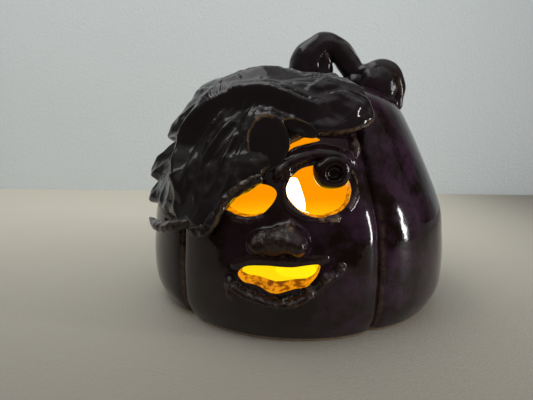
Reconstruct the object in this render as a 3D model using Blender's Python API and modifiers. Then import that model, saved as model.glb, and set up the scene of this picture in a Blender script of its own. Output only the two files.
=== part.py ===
"""A pumpkin lantern of glazed ceramic, with a wax candle inside it.

Lengths are metres and angles are degrees. The lantern is modelled about its
own upright axis, and an empty then carries both pieces to the shared frame.
Azimuth 0 is the face's side, -Y, and it grows towards +X.
"""
from math import asin, atan2, cos, degrees, exp, hypot, pi, radians, sin

import bpy
import bmesh
import numpy as np
from mathutils import Matrix, Vector

# ---------------------------------------------------------------- dimensions

AXIS_X, AXIS_Y = 0.0004, 0.0048      # the lantern's axis, from the frame's origin

HEIGHT = 0.146                       # the pumpkin's own top, under leaf and stem
SKIN = (                             # radius and height of the skin, top to foot
    (0.0000, 0.1460), (0.0420, 0.1420), (0.0560, 0.1375), (0.0655, 0.1300),
    (0.0760, 0.1115), (0.0895, 0.0830), (0.0975, 0.0640), (0.1000, 0.0450),
    (0.0980, 0.0160), (0.0920, 0.0000),
)
SEGMENTS = 80                        # round the axis, 16 to a rib
SKIN_STEPS = 2                       # lengths between two points of the skin
RIBS = 5
CREASE_AZIMUTH = 28.5                # the crease right of the face
CREASE_DEPTH = 0.0032
CREASE_WIDTH = 0.0035
RIB_SWELL = 0.0016
CREASE_TOP, CREASE_FADE = 0.128, 0.014

WALL = 0.0065
FLOOR = 0.0070
CLAY_GRAIN = 0.0014                  # finest detail kept where the clay pieces are joined
CLAY_FACES = 9400                    # about how many triangles the lantern keeps

CORE_HEIGHT = 0.060                  # point from which the leaf is laid on the skin

# eye, mouth and brow openings: azimuth, height, skin radius there, and outline
RIGHT_EYE = (7.8, 0.0836, 0.0905, 0.0164, 0.0124)
LEFT_EYE = (-14.4, 0.0789, 0.0910, (
    (-0.0147, -0.0045), (-0.0095, -0.0078), (-0.0010, -0.0088), (0.0070, -0.0062),
    (0.0117, 0.0020), (0.0100, 0.0080), (0.0020, 0.0095), (-0.0070, 0.0070)))
MOUTH = (-4.6, 0.0392, 0.1000, (
    (-0.0212, 0.0010), (-0.0175, 0.0048), (-0.0070, 0.0060), (0.0060, 0.0058),
    (0.0175, 0.0074), (0.0194, 0.0045), (0.0144, -0.0028), (0.0061, -0.0052),
    (-0.0026, -0.0077), (-0.0115, -0.0040), (-0.0185, -0.0030)))
BROW_SLIT = (1.9, 0.1052, 0.0790, (
    (-0.0092, -0.0040), (-0.0045, -0.0004), (0.0012, 0.0012), (0.0090, 0.0032),
    (0.0050, 0.0048), (-0.0010, 0.0040), (-0.0060, 0.0012)))
CUT_DEPTH = 0.030

KNOB_AZIMUTH, KNOB_HEIGHT, KNOB_LIFT = 12.6, 0.0925, 0.0005
KNOB = (                             # radius and distance along the knob's axis
    (0.0000, 0.0020), (0.0045, 0.0032), (0.0074, 0.0054), (0.0094, 0.0034),
    (0.0098, -0.0010), (0.0080, -0.0050), (0.0000, -0.0066),
)

# nose, brow and warts: azimuth, height, lift, half width, half height, half depth
LUMPS = {
    "nose": (-5.8, 0.0580, 0.0000, 0.0160, 0.0076, 0.0085),
    "nose tip": (0.6, 0.0578, 0.0010, 0.0068, 0.0080, 0.0090),
    "lip corner": (-19.9, 0.0310, 0.0000, 0.0044, 0.0062, 0.0040),
    "lip wart": (-0.5, 0.0272, 0.0010, 0.0036, 0.0034, 0.0038),
    "upper lip wart": (4.3, 0.0322, 0.0010, 0.0030, 0.0034, 0.0034),
    "temple wart": (23.0, 0.1049, 0.0005, 0.0042, 0.0064, 0.0050),
}

# rounded strands laid on the skin: radius, then azimuth, height and lift of each point
STRANDS = {
    "lower lip": (0.0027, (
        (-19.0, 0.0345, 0.000), (-15.5, 0.0305, 0.000), (-10.1, 0.0280, 0.001), (-4.6, 0.0262, 0.001),
        (0.3, 0.0278, 0.001), (4.4, 0.0318, 0.000), (8.2, 0.0370, 0.000), (13.0, 0.0432, -0.001))),
    "upper lid": (0.0036, (
        (-6.2, 0.0915, -0.001), (-3.4, 0.0972, 0.000), (1.1, 0.1008, 0.001), (7.0, 0.1028, 0.001),
        (14.0, 0.1020, 0.001), (19.5, 0.0985, 0.000))),
    "right lid": (0.0020, (
        (19.8, 0.0945, 0.000), (21.2, 0.0865, 0.000), (19.4, 0.0790, 0.000), (16.0, 0.0730, 0.000),
        (10.4, 0.0698, 0.000), (5.5, 0.0708, -0.001))),
}

# the leaf: a chart of degrees as seen from the core, centred on this direction
LEAF_AZIMUTH, LEAF_ELEVATION = -30.0, 40.0
LEAF_MIDDLE = (-2.0, -4.0)           # chart point that the edge is measured from
LEAF_EDGE = (                        # direction and reach of the edge, right round
    (-90, 37.5), (-79, 32.6), (-66, 27.5), (-52, 25.5), (-32, 24.5), (-12, 25.0), (4, 28.5),
    (10, 39.0), (17, 46.5), (24, 48.0), (36, 42.5), (52, 43.0), (70, 47.0), (90, 50.0),
    (102, 39.0), (112, 41.0), (121, 33.0), (132, 39.0), (144, 39.5), (154, 31.0), (164, 38.0),
    (176, 38.5), (187, 31.0), (197, 41.0), (213, 43.5), (227, 40.5), (240, 36.5), (255, 36.0),
)
LEAF_LIFT = 0.0050                   # its upper face above the skin
LEAF_ROOT = 0.0045                   # its lower face, sunk past the creases of the skin
LEAF_FOLDS = (                       # height, half width in degrees, chart points
    (0.0060, 5.0, ((12, 22), (-2, 15), (-12, 3), (-18, -8), (-18, -20), (-13, -30))),
    (0.0035, 2.6, ((1, 8), (-6, 3), (-12, -5), (-13, -16), (-9, -28))),
    (0.0035, 3.6, ((1, 8), (10, 10), (19, 9), (26, 8), (34, 12))),
    (0.0030, 3.0, ((24, 22), (33, 17), (39, 12))),
)
LEAF_CURL = 0.0085                   # how far the lobes at the back left stand off
LEAF_CURL_SIDE, LEAF_CURL_SPREAD = 178, 62
LEAF_SEGMENTS, LEAF_RINGS = 64, 16

FLAP = (17.5, -9.3, 6.4, 8.6)        # the lobe that hangs over the brow: chart centre, half sizes
FLAP_LIFT, FLAP_THICK = 0.0058, 0.0034

ROLL_RADIUS = 0.0038                 # the rolled front edge above the left eye
ROLL = ((-2.5, -40.0), (2.5, -38.5), (5.4, -33.5), (8.0, -28.5), (12.0, -25.0), (16.6, -21.4))
ROLL_LIFT = 0.0045

TIP = (                              # the leaf's free point: place and radius
    (-0.0570, -0.0800, 0.0640, 0.0030), (-0.0680, -0.0760, 0.0610, 0.0056),
    (-0.0800, -0.0680, 0.0580, 0.0050), (-0.0910, -0.0570, 0.0575, 0.0034),
    (-0.0985, -0.0470, 0.0585, 0.0012),
)

STEM = (                             # the curled stalk: place and radius
    (0.0020, 0.002, 0.1390, 0.0135), (0.0050, 0.001, 0.1530, 0.0125), (0.0085, 0.000, 0.1620, 0.0112),
    (0.0175, 0.000, 0.1684, 0.0095), (0.0270, -0.001, 0.1658, 0.0082), (0.0340, -0.003, 0.1575, 0.0076),
    (0.0400, -0.005, 0.1495, 0.0075), (0.0470, -0.008, 0.1490, 0.0075), (0.0560, -0.010, 0.1510, 0.0078),
    (0.0622, -0.011, 0.1455, 0.0074), (0.0636, -0.012, 0.1370, 0.0068), (0.0640, -0.013, 0.1290, 0.0050),
)
HEEL = (0.0520, -0.009, 0.1400)      # the stalk's root under its second curl
HEEL_SIZE = (0.0105, 0.0095, 0.0105)

CANDLE_GAP = 0.0003                  # between the wax and the floor
CANDLE = (                           # radius and height above the floor, top to bottom
    (0.0000, 0.0420), (0.0050, 0.0425), (0.0078, 0.0450), (0.0098, 0.0448), (0.0108, 0.0400),
    (0.0120, 0.0260), (0.0132, 0.0120), (0.0150, 0.0030), (0.0156, 0.0000), (0.0000, 0.0000),
)
CANDLE_SEGMENTS = 24

GLAZE = ((0.020, 0.013, 0.013, 1.0), 0.12)
WAX = ((0.85, 0.78, 0.62, 1.0), 0.45)

# ---------------------------------------------------------------- shapes

def smooth_path(points, steps, closed=False):
    """Points along a Catmull-Rom curve through the given ones."""
    pts = [np.array(p, float) for p in points]
    count = len(pts)
    spans = count if closed else count - 1
    path = []
    for i in range(spans):
        before = pts[(i - 1) % count] if closed else pts[max(i - 1, 0)]
        start = pts[i]
        end = pts[(i + 1) % count]
        after = pts[(i + 2) % count] if closed else pts[min(i + 2, count - 1)]
        for k in range(steps):
            t = k / steps
            path.append(0.5 * (2 * start + (end - before) * t
                               + (2 * before - 5 * start + 4 * end - after) * t ** 2
                               + (3 * start - before - 3 * end + after) * t ** 3))
    if not closed:
        path.append(pts[-1])
    return path


def skin_profile(steps):
    """Radius and height down the skin, with its top and foot exact."""
    return [(max(r, 0.0), z) for r, z in smooth_path(SKIN, steps)]


FINE_SKIN = np.array(skin_profile(12))


def skin_radius(z):
    """Radius of the skin at a height below the shoulder."""
    return float(np.interp(z, FINE_SKIN[::-1, 1], FINE_SKIN[::-1, 0]))


def rib_swell(azimuth, z):
    """How far the ribs move the skin out or in."""
    turn = (azimuth - CREASE_AZIMUTH) * RIBS / 360
    off = abs(turn - round(turn)) * 2 * pi / RIBS * skin_radius(min(z, CREASE_TOP))
    fade = 1 / (1 + exp((z - CREASE_TOP) / CREASE_FADE * 4))
    swell = RIB_SWELL * (abs(sin(pi * turn)) - 0.7)
    return fade * (swell - CREASE_DEPTH * exp(-off / CREASE_WIDTH))


def on_face(azimuth, z, lift):
    """A point over the skin at an azimuth and a height."""
    r = skin_radius(z) + lift
    return Vector((r * sin(radians(azimuth)), -r * cos(radians(azimuth)), z))


FINE_RISE = np.degrees(np.arctan2(FINE_SKIN[::-1, 1] - CORE_HEIGHT, FINE_SKIN[::-1, 0]))
FINE_REACH = np.hypot(FINE_SKIN[::-1, 0], FINE_SKIN[::-1, 1] - CORE_HEIGHT)


def chart_axes():
    """Middle, rightward and upward directions of the leaf's chart."""
    a, e = radians(LEAF_AZIMUTH), radians(LEAF_ELEVATION)
    middle = Vector((sin(a) * cos(e), -cos(a) * cos(e), sin(e)))
    right = Vector((cos(a), sin(a), 0))
    return middle, right, right.cross(-middle)


CHART = chart_axes()


def on_chart(p, q, lift):
    """A point over the skin at a place of the leaf's chart."""
    middle, right, up = CHART
    angle = max(hypot(p, q), 1e-9)
    across = (right * p + up * q) / angle
    ray = middle * cos(radians(angle)) + across * sin(radians(angle))
    reach = float(np.interp(degrees(asin(ray.z)), FINE_RISE, FINE_REACH))
    return Vector((0, 0, CORE_HEIGHT)) + ray * (reach + lift)


def fold_height(p, q, folds):
    """Sum of the leaf's rounded folds at a chart place."""
    total = 0.0
    here = np.array((p, q), float)
    for height, width, line in folds:
        pts = np.array(line, float)
        start, run = pts[:-1], np.diff(pts, axis=0)
        t = np.clip(((here - start) * run).sum(1) / (run ** 2).sum(1), 0, 1)
        gap = np.sqrt((((start + run * t[:, None]) - here) ** 2).sum(1)).min()
        total += height * exp(-(gap / width) ** 2)
    return total


# ---------------------------------------------------------------- Blender helpers

def clear_scene():
    for obj in list(bpy.data.objects):
        bpy.data.objects.remove(obj, do_unlink=True)


def collection(name):
    group = bpy.data.collections.new(name)
    bpy.context.scene.collection.children.link(group)
    return group


def material(name, finish):
    mat = bpy.data.materials.new(name)
    mat.use_nodes = True
    shader = mat.node_tree.nodes["Principled BSDF"]
    shader.inputs["Base Color"].default_value = finish[0]
    shader.inputs["Roughness"].default_value = finish[1]
    return mat


def to_mesh_object(obj):
    """Replace an object by the welded mesh of what it shows."""
    bpy.context.view_layer.update()
    depsgraph = bpy.context.evaluated_depsgraph_get()
    mesh = bpy.data.meshes.new_from_object(obj.evaluated_get(depsgraph))
    bm = bmesh.new()
    bm.from_mesh(mesh)
    bm.transform(obj.matrix_world)
    bmesh.ops.remove_doubles(bm, verts=bm.verts, dist=0.00002)
    bmesh.ops.recalc_face_normals(bm, faces=bm.faces)
    bm.to_mesh(mesh)
    bm.free()
    made = bpy.data.objects.new(obj.name + " shape", mesh)
    obj.users_collection[0].objects.link(made)
    bpy.data.objects.remove(obj, do_unlink=True)
    return made


def screw_object(name, profile, segments, group):
    """A turned solid from a profile that runs down its outer side."""
    mesh = bpy.data.meshes.new(name)
    edges = [(i, i + 1) for i in range(len(profile) - 1)]
    mesh.from_pydata([(r, 0, z) for r, z in profile], edges, [])
    obj = bpy.data.objects.new(name, mesh)
    group.objects.link(obj)
    turn = obj.modifiers.new("turn", "SCREW")
    turn.steps = segments
    turn.render_steps = segments
    turn.use_merge_vertices = True
    turn.merge_threshold = 0.0001
    return obj


def ribbed_solid(name, steps, group):
    """The pumpkin's form with a flat foot, or its hollow when scaled by the caller."""
    profile = skin_profile(steps) + [(0.0, 0.0)]
    obj = to_mesh_object(screw_object(name, profile, SEGMENTS, group))
    for vertex in obj.data.vertices:
        x, y, z = vertex.co
        r = hypot(x, y)
        if r < 0.001:
            continue
        # the turned seam starts at +X, so its first row is carried to a crease
        azimuth = degrees(atan2(y, x)) + CREASE_AZIMUTH
        grown = r + rib_swell(azimuth, z) * min(r / 0.04, 1)
        vertex.co = (grown * sin(radians(azimuth)), -grown * cos(radians(azimuth)), z)
    return obj


def extruded_outline(name, points, depth, group, steps=3):
    """A flat outline made solid, centred on its own plane."""
    curve = bpy.data.curves.new(name, "CURVE")
    curve.dimensions = "2D"
    curve.fill_mode = "BOTH"
    curve.extrude = depth / 2
    path = smooth_path(points, steps, closed=True)
    spline = curve.splines.new("POLY")
    spline.points.add(len(path) - 1)
    for point, (u, v) in zip(spline.points, path):
        point.co = (u, v, 0, 1)
    spline.use_cyclic_u = True
    obj = bpy.data.objects.new(name, curve)
    group.objects.link(obj)
    return obj


def face_matrix(azimuth, z, radius):
    """Right along the skin, up, and outward, at a place of the face."""
    a = radians(azimuth)
    axes = Matrix(((cos(a), 0, sin(a)), (sin(a), 0, -cos(a)), (0, 1, 0))).to_4x4()
    return Matrix.Translation((radius * sin(a), -radius * cos(a), z)) @ axes


def opening_cutter(name, opening, group):
    azimuth, z, radius, outline = opening
    obj = extruded_outline(name, outline, CUT_DEPTH, group)
    obj.matrix_world = face_matrix(azimuth, z, radius - WALL / 2)
    return to_mesh_object(obj)


def round_eye_outline(half_width, half_height, count=10):
    angles = [2 * pi * i / count for i in range(count)]
    return [(half_width * cos(a), half_height * sin(a)) for a in angles]


def tube(name, points, group, sides=2, steps=3):
    """A tube whose points carry their own radius, closed at both ends."""
    curve = bpy.data.curves.new(name, "CURVE")
    curve.dimensions = "3D"
    curve.bevel_depth = 1.0
    curve.bevel_resolution = sides
    curve.use_fill_caps = True
    path = smooth_path(points, steps)
    spline = curve.splines.new("POLY")
    spline.points.add(len(path) - 1)
    for point, (x, y, z, r) in zip(spline.points, path):
        point.co = (x, y, z, 1)
        point.radius = r
    obj = bpy.data.objects.new(name, curve)
    group.objects.link(obj)
    return to_mesh_object(obj)


def tapered(points, radius, end=0.55):
    """Give points a radius that narrows towards both ends."""
    last = len(points) - 1
    shares = [end + (1 - end) * sin(pi * i / last) ** 0.5 for i in range(last + 1)]
    return [(*p, radius * s) for p, s in zip(points, shares)]


def strand(name, radius, places, group):
    points = [on_face(*place) for place in places]
    return tube(name, tapered(points, radius), group, sides=1, steps=2)


def ball(name, matrix, size, group, segments=14, rings=8):
    """A rounded lump of the given half sizes."""
    bm = bmesh.new()
    bmesh.ops.create_uvsphere(bm, u_segments=segments, v_segments=rings, radius=1.0)
    bm.transform(matrix @ Matrix.Diagonal((*size, 1)))
    return finish_bmesh(name, bm, group)


def lump(name, place, group):
    azimuth, z, lift, *size = place
    return ball(name, face_matrix(azimuth, z, skin_radius(z) + lift), size, group)


def finish_bmesh(name, bm, group):
    mesh = bpy.data.meshes.new(name)
    bm.to_mesh(mesh)
    bm.free()
    obj = bpy.data.objects.new(name, mesh)
    group.objects.link(obj)
    return obj


# ---------------------------------------------------------------- pieces

LEAF_ROUND = smooth_path(LEAF_EDGE + ((LEAF_EDGE[0][0] + 360, LEAF_EDGE[0][1]),), 4)


def leaf_reach(direction):
    """How far the leaf's edge lies from its middle, in degrees of the chart."""
    start = LEAF_EDGE[0][0]
    wrapped = (direction - start) % 360 + start
    return float(np.interp(wrapped, [p[0] for p in LEAF_ROUND], [p[1] for p in LEAF_ROUND]))


def leaf_curl(direction, out):
    """How far the lobes at the back left stand off the skin, towards their edge."""
    off = abs((direction - LEAF_CURL_SIDE + 180) % 360 - 180) / LEAF_CURL_SPREAD
    side = max(0.0, 1 - off ** 4)
    return LEAF_CURL * side * max(0.0, (out - 0.55) / 0.45) ** 1.5


def leaf_solid(group):
    """A plump sheet laid over the skin, its edge scalloped and its face folded."""
    bm = bmesh.new()
    bmesh.ops.create_uvsphere(bm, u_segments=LEAF_SEGMENTS, v_segments=LEAF_RINGS, radius=1.0)
    for vertex in bm.verts:
        x, y, z = vertex.co
        out = asin(min(hypot(x, y), 1.0)) * 2 / pi
        direction = degrees(atan2(y, x))
        reach = leaf_reach(direction) * out
        p = LEAF_MIDDLE[0] + reach * cos(radians(direction))
        q = LEAF_MIDDLE[1] + reach * sin(radians(direction))
        top = LEAF_LIFT + fold_height(p, q, LEAF_FOLDS)
        middle = (top - LEAF_ROOT) / 2
        plump = (1 if z > 0 else -1) * abs(z) ** 0.45
        lift = middle + plump * (top + LEAF_ROOT) / 2 + leaf_curl(direction, out)
        vertex.co = on_chart(p, q, lift)
    return finish_bmesh("leaf", bm, group)


def flap_solid(group):
    bm = bmesh.new()
    bmesh.ops.create_uvsphere(bm, u_segments=20, v_segments=8, radius=1.0)
    p0, q0, half_p, half_q = FLAP
    for vertex in bm.verts:
        x, y, z = vertex.co
        lift = FLAP_LIFT + FLAP_THICK * z - 0.003 * max(0.0, -y)
        vertex.co = on_chart(p0 + half_p * x, q0 + half_q * y, lift)
    return finish_bmesh("flap", bm, group)


def roll_solid(group):
    points = [on_chart(p, q, ROLL_LIFT) for p, q in ROLL]
    return tube("roll", tapered(points, ROLL_RADIUS, 0.8), group, sides=2, steps=2)


def knob_solid(group):
    obj = screw_object("knob", KNOB, 18, group)
    obj.matrix_world = face_matrix(KNOB_AZIMUTH, KNOB_HEIGHT, skin_radius(KNOB_HEIGHT) + KNOB_LIFT)
    return to_mesh_object(obj)


def cut_away(target, tools):
    """Take closed shapes out of a solid, one after another."""
    for tool in tools:
        cut = target.modifiers.new(tool.name, "BOOLEAN")
        cut.operation = "DIFFERENCE"
        cut.solver = "EXACT"
        cut.object = tool
        applied(target)


def applied(obj):
    """Keep what an object's modifiers make of it as its own mesh."""
    bpy.context.view_layer.update()
    depsgraph = bpy.context.evaluated_depsgraph_get()
    mesh = bpy.data.meshes.new_from_object(obj.evaluated_get(depsgraph))
    obj.modifiers.clear()
    obj.data = mesh


def fuse(target, tools):
    """Press closed shapes into one clay body, thinned to a light mesh."""
    bm = bmesh.new()
    for obj in [target] + tools:
        bm.from_mesh(obj.data)
    bm.to_mesh(target.data)
    bm.free()
    skin = target.modifiers.new("one skin", "REMESH")
    skin.mode = "VOXEL"
    skin.voxel_size = CLAY_GRAIN
    applied(target)
    thin = target.modifiers.new("thin", "DECIMATE")
    thin.ratio = CLAY_FACES / (2 * len(target.data.polygons))
    thin.use_collapse_triangulate = True
    applied(target)
    for vertex in target.data.vertices:
        if vertex.co.z < CLAY_GRAIN / 2:
            vertex.co.z = 0.0


def build_lantern(group, cutters, finish):
    body = ribbed_solid("body", SKIN_STEPS, group)
    hollow = ribbed_solid("hollow", 1, cutters)
    inner_scale = 1 - WALL / SKIN[7][0]
    inner_height = (HEIGHT - WALL - FLOOR) / HEIGHT
    hollow.data.transform(Matrix.Translation((0, 0, FLOOR))
                          @ Matrix.Diagonal((inner_scale, inner_scale, inner_height, 1)))
    openings = {
        "right eye": RIGHT_EYE[:3] + (round_eye_outline(*RIGHT_EYE[3:]),),
        "left eye": LEFT_EYE,
        "mouth": MOUTH,
        "brow slit": BROW_SLIT,
    }
    holes = [opening_cutter(name, opening, cutters) for name, opening in openings.items()]
    cut_away(body, [hollow] + holes)
    added = [leaf_solid(cutters), flap_solid(cutters), roll_solid(cutters), knob_solid(cutters)]
    added.append(tube("leaf point", TIP, cutters, sides=2, steps=2))
    added.append(tube("stalk", STEM, cutters, sides=3, steps=2))
    added.append(ball("stalk heel", Matrix.Translation(HEEL), HEEL_SIZE, cutters))
    added += [strand(name, radius, places, cutters) for name, (radius, places) in STRANDS.items()]
    added += [lump(name, place, cutters) for name, place in LUMPS.items()]
    fuse(body, added)
    body.name = "lantern"
    body.data.materials.clear()
    body.data.materials.append(finish)
    return body


def build_candle(group, finish):
    candle = to_mesh_object(screw_object("candle", CANDLE, CANDLE_SEGMENTS, group))
    candle.data.transform(Matrix.Translation((0, 0, FLOOR + CANDLE_GAP)))
    candle.name = "candle"
    candle.data.materials.append(finish)
    return candle


def islands(bm):
    """Groups of faces that hang together."""
    left = set(bm.faces)
    groups = []
    while left:
        first = left.pop()
        group, edge_faces = {first}, [first]
        while edge_faces:
            face = edge_faces.pop()
            for edge in face.edges:
                for other in edge.link_faces:
                    if other in left:
                        left.remove(other)
                        group.add(other)
                        edge_faces.append(other)
        groups.append(group)
    return groups


def tidy(obj, distance):
    """Weld slivers, fill pockets shut in between joined shapes, and shade smooth."""
    bm = bmesh.new()
    bm.from_mesh(obj.data)
    bmesh.ops.dissolve_degenerate(bm, dist=distance, edges=bm.edges)
    pockets = sorted(islands(bm), key=len)[:-1]
    bmesh.ops.delete(bm, geom=[face for pocket in pockets for face in pocket], context="FACES")
    bmesh.ops.triangulate(bm, faces=bm.faces)
    bm.to_mesh(obj.data)
    bm.free()
    obj.data.shade_smooth()
    obj.data.set_sharp_from_angle(angle=radians(40))


def main():
    clear_scene()
    parts = collection("pumpkin lantern")
    cutters = collection("cutters")
    lantern = build_lantern(parts, cutters, material("dark glaze", GLAZE))
    candle = build_candle(parts, material("wax", WAX))
    for obj in list(cutters.objects):
        obj.hide_render = True
        obj.display_type = "WIRE"
    foot = bpy.data.objects.new("middle of the foot", None)
    foot.location = (AXIS_X, AXIS_Y, 0)
    parts.objects.link(foot)
    for obj in (lantern, candle):
        tidy(obj, 0.00005)
        obj.parent = foot


main()
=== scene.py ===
"""Looks of a glazed ceramic pumpkin lantern with a carved face and a lit candle.

Sizes are metres and angles degrees unless a name says otherwise. Shapes are
worked out about the lantern's own upright axis and then moved to the frame.
Azimuth 0 is the face's side, -Y, and azimuth grows towards +X.
"""
from math import cos, pi, radians, sin

import bmesh
import bpy
import numpy as np
from bpy.props import FloatProperty, FloatVectorProperty, PointerProperty
from mathutils import Matrix, Vector


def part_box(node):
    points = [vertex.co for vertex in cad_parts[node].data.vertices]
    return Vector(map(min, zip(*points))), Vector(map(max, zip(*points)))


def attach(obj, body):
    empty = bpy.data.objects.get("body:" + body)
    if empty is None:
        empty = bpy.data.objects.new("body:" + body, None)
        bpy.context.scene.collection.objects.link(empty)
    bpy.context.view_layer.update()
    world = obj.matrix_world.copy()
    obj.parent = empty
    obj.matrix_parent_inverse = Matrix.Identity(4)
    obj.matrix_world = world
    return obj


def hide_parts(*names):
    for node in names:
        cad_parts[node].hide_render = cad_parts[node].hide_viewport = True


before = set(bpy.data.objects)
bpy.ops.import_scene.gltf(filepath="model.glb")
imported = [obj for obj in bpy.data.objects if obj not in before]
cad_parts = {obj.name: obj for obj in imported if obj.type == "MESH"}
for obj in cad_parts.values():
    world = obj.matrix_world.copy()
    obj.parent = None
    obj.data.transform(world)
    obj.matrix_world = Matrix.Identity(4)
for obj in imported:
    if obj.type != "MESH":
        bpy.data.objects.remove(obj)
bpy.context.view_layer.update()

bl_info = {
    "name": "Ceramic Pumpkin Lantern",
    "version": (1, 0, 0),
    "blender": (4, 5, 0),
    "location": "View3D > Sidebar > Lantern",
    "description": "Builds a glazed ceramic pumpkin lantern, its candle and its stage",
    "category": "Add Mesh",
}

# ---------------------------------------------------------------- dimensions

CANDLE_LOW, CANDLE_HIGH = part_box("candle")
AXIS_X = (CANDLE_LOW[0] + CANDLE_HIGH[0]) / 2
AXIS_Y = (CANDLE_LOW[1] + CANDLE_HIGH[1]) / 2
WAX_FOOT = CANDLE_LOW[2]

SKIN = (                             # radius and height of the skin, top to foot
    (0.0000, 0.1460), (0.0420, 0.1420), (0.0560, 0.1375), (0.0655, 0.1300),
    (0.0760, 0.1115), (0.0895, 0.0830), (0.0970, 0.0640), (0.0992, 0.0480),
    (0.1003, 0.0300), (0.0988, 0.0130), (0.0920, 0.0000),
)
HEIGHT = 0.146
WALL = 0.0065
FLOOR = 0.0070
CORE_HEIGHT = 0.060                  # point from which the leaf is laid on the skin

RIBS = 5
CREASE_AZIMUTH = 28.5
CREASE_DEPTH, CREASE_WIDTH = 0.0034, 0.0017
CREASE_ROLL, CREASE_ROLL_WIDTH = 0.0022, 0.0075
RIB_SWELL = 0.0016
CREASE_TOP, CREASE_FADE = 0.128, 0.014

# ---------------------------------------------------------------- settings

def colour(name, text, value):
    return FloatVectorProperty(name=name, description=text, default=value, size=3,
                               subtype="COLOR", min=0.0, max=1.0)


class GlazeSettings(bpy.types.PropertyGroup):
    """Colours of the lantern's glaze."""
    dark: colour("Dark glaze", "Brown-black of the thick glaze", (0.0060, 0.0025, 0.0014))
    purple: colour("Purple glaze", "Purple mottling of the ribs", (0.0300, 0.0125, 0.0240))
    # painted sheen in part: the leaf colour is lighter and greyer than the body's, partly the leaf's own
    # glaze, partly standing in for its grey sheen
    leaf: colour("Leaf glaze", "Greyer glaze of the leaf and the stalk", (0.0100, 0.0075, 0.0068))
    tan: colour("Tan edge", "Where the glaze runs thin over an edge", (0.210, 0.125, 0.060))
    clay: colour("Bare clay", "Unglazed clay of the foot", (0.30, 0.19, 0.10))
    roughness: FloatProperty(name="Roughness", description="Roughness of the glaze",
                             default=0.06, min=0.0, max=1.0, subtype="FACTOR")


class GlowSettings(bpy.types.PropertyGroup):
    """Colours of the lit inside and of the flame."""
    wall: colour("Wall glow", "Lit wall of the hollow", (1.0, 0.300, 0.0))
    floor: colour("Floor glow", "Lit floor near the flame", (1.0, 0.700, 0.004))
    flame: colour("Flame", "The flame and hot wax", (1.0, 0.86, 0.52))
    flame_power: FloatProperty(name="Flame power", description="Strength of the flame's light",
                               default=5.0, min=0.0, max=50.0)


class StageSettings(bpy.types.PropertyGroup):
    """Colours of the table and the wall, and where they end."""
    table: colour("Table", "Pale table top", (0.69, 0.645, 0.545))
    wall: colour("Wall", "Pale wall behind", (0.62, 0.66, 0.66))
    wall_gap: FloatProperty(name="Wall distance", description="Wall behind the lantern's axis",
                            default=0.400, min=0.12, max=2.0, unit="LENGTH")
    front_gap: FloatProperty(name="Front of table", description="Table edge before the axis",
                             default=0.245, min=0.12, max=2.0, unit="LENGTH")
    right_gap: FloatProperty(name="Right of table", description="Table edge right of the axis",
                             default=0.42, min=0.12, max=2.0, unit="LENGTH")


# ---------------------------------------------------------------- curves and noise

def smooth_path(points, steps, closed=False):
    """Points along a Catmull-Rom curve through the given ones."""
    pts = np.array(points, float)
    count = len(pts)
    spans = count if closed else count - 1
    t = (np.arange(steps) / steps)[:, None]
    path = []
    for i in range(spans):
        before = pts[(i - 1) % count] if closed else pts[max(i - 1, 0)]
        start, end = pts[i], pts[(i + 1) % count]
        after = pts[(i + 2) % count] if closed else pts[min(i + 2, count - 1)]
        path.append(0.5 * (2 * start + (end - before) * t
                           + (2 * before - 5 * start + 4 * end - after) * t ** 2
                           + (3 * start - before - 3 * end + after) * t ** 3))
    if not closed:
        path.append(pts[-1:])
    return np.concatenate(path)


FINE_SKIN = smooth_path(SKIN, 12)
FINE_RISE = np.degrees(np.arctan2(FINE_SKIN[::-1, 1] - CORE_HEIGHT, FINE_SKIN[::-1, 0]))
FINE_REACH = np.hypot(FINE_SKIN[::-1, 0], FINE_SKIN[::-1, 1] - CORE_HEIGHT)


def skin_radius(z):
    return np.interp(z, FINE_SKIN[::-1, 1], FINE_SKIN[::-1, 0])


def smoothstep(low, high, value):
    t = np.clip((value - low) / (high - low), 0, 1)
    return t * t * (3 - 2 * t)


def clay_noise(points, cell, seed):
    """Smooth values from -1 to 1, one lump to a cell."""
    table = np.random.default_rng(seed).uniform(-1, 1, 4096)
    grid = np.asarray(points) / cell
    base = np.floor(grid).astype(np.int64)
    part = grid - base
    part = part * part * (3 - 2 * part)
    total = np.zeros(len(grid))
    for dx in (0, 1):
        for dy in (0, 1):
            for dz in (0, 1):
                key = ((base[:, 0] + dx) * 73856093 ^ (base[:, 1] + dy) * 19349663
                       ^ (base[:, 2] + dz) * 83492791) % 4096
                weight = (np.abs(1 - dx - part[:, 0]) * np.abs(1 - dy - part[:, 1])
                          * np.abs(1 - dz - part[:, 2]))
                total += weight * table[key]
    return total


def line_gap(places, line):
    """Distance from each place to a polyline, and how far along it lies, 0 to 1."""
    pts = np.array(line, float)
    start, run = pts[:-1], np.diff(pts, axis=0)
    length = np.maximum((run ** 2).sum(1), 1e-12)
    best = np.full(len(places), np.inf)
    along = np.zeros(len(places))
    for i in range(len(start)):
        t = np.clip(((places - start[i]) @ run[i]) / length[i], 0, 1)
        gap = np.sqrt((((start[i] + t[:, None] * run[i]) - places) ** 2).sum(1))
        closer = gap < best
        best[closer] = gap[closer]
        along[closer] = (i + t[closer]) / len(start)
    return best, along


# ---------------------------------------------------------------- face relief

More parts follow.
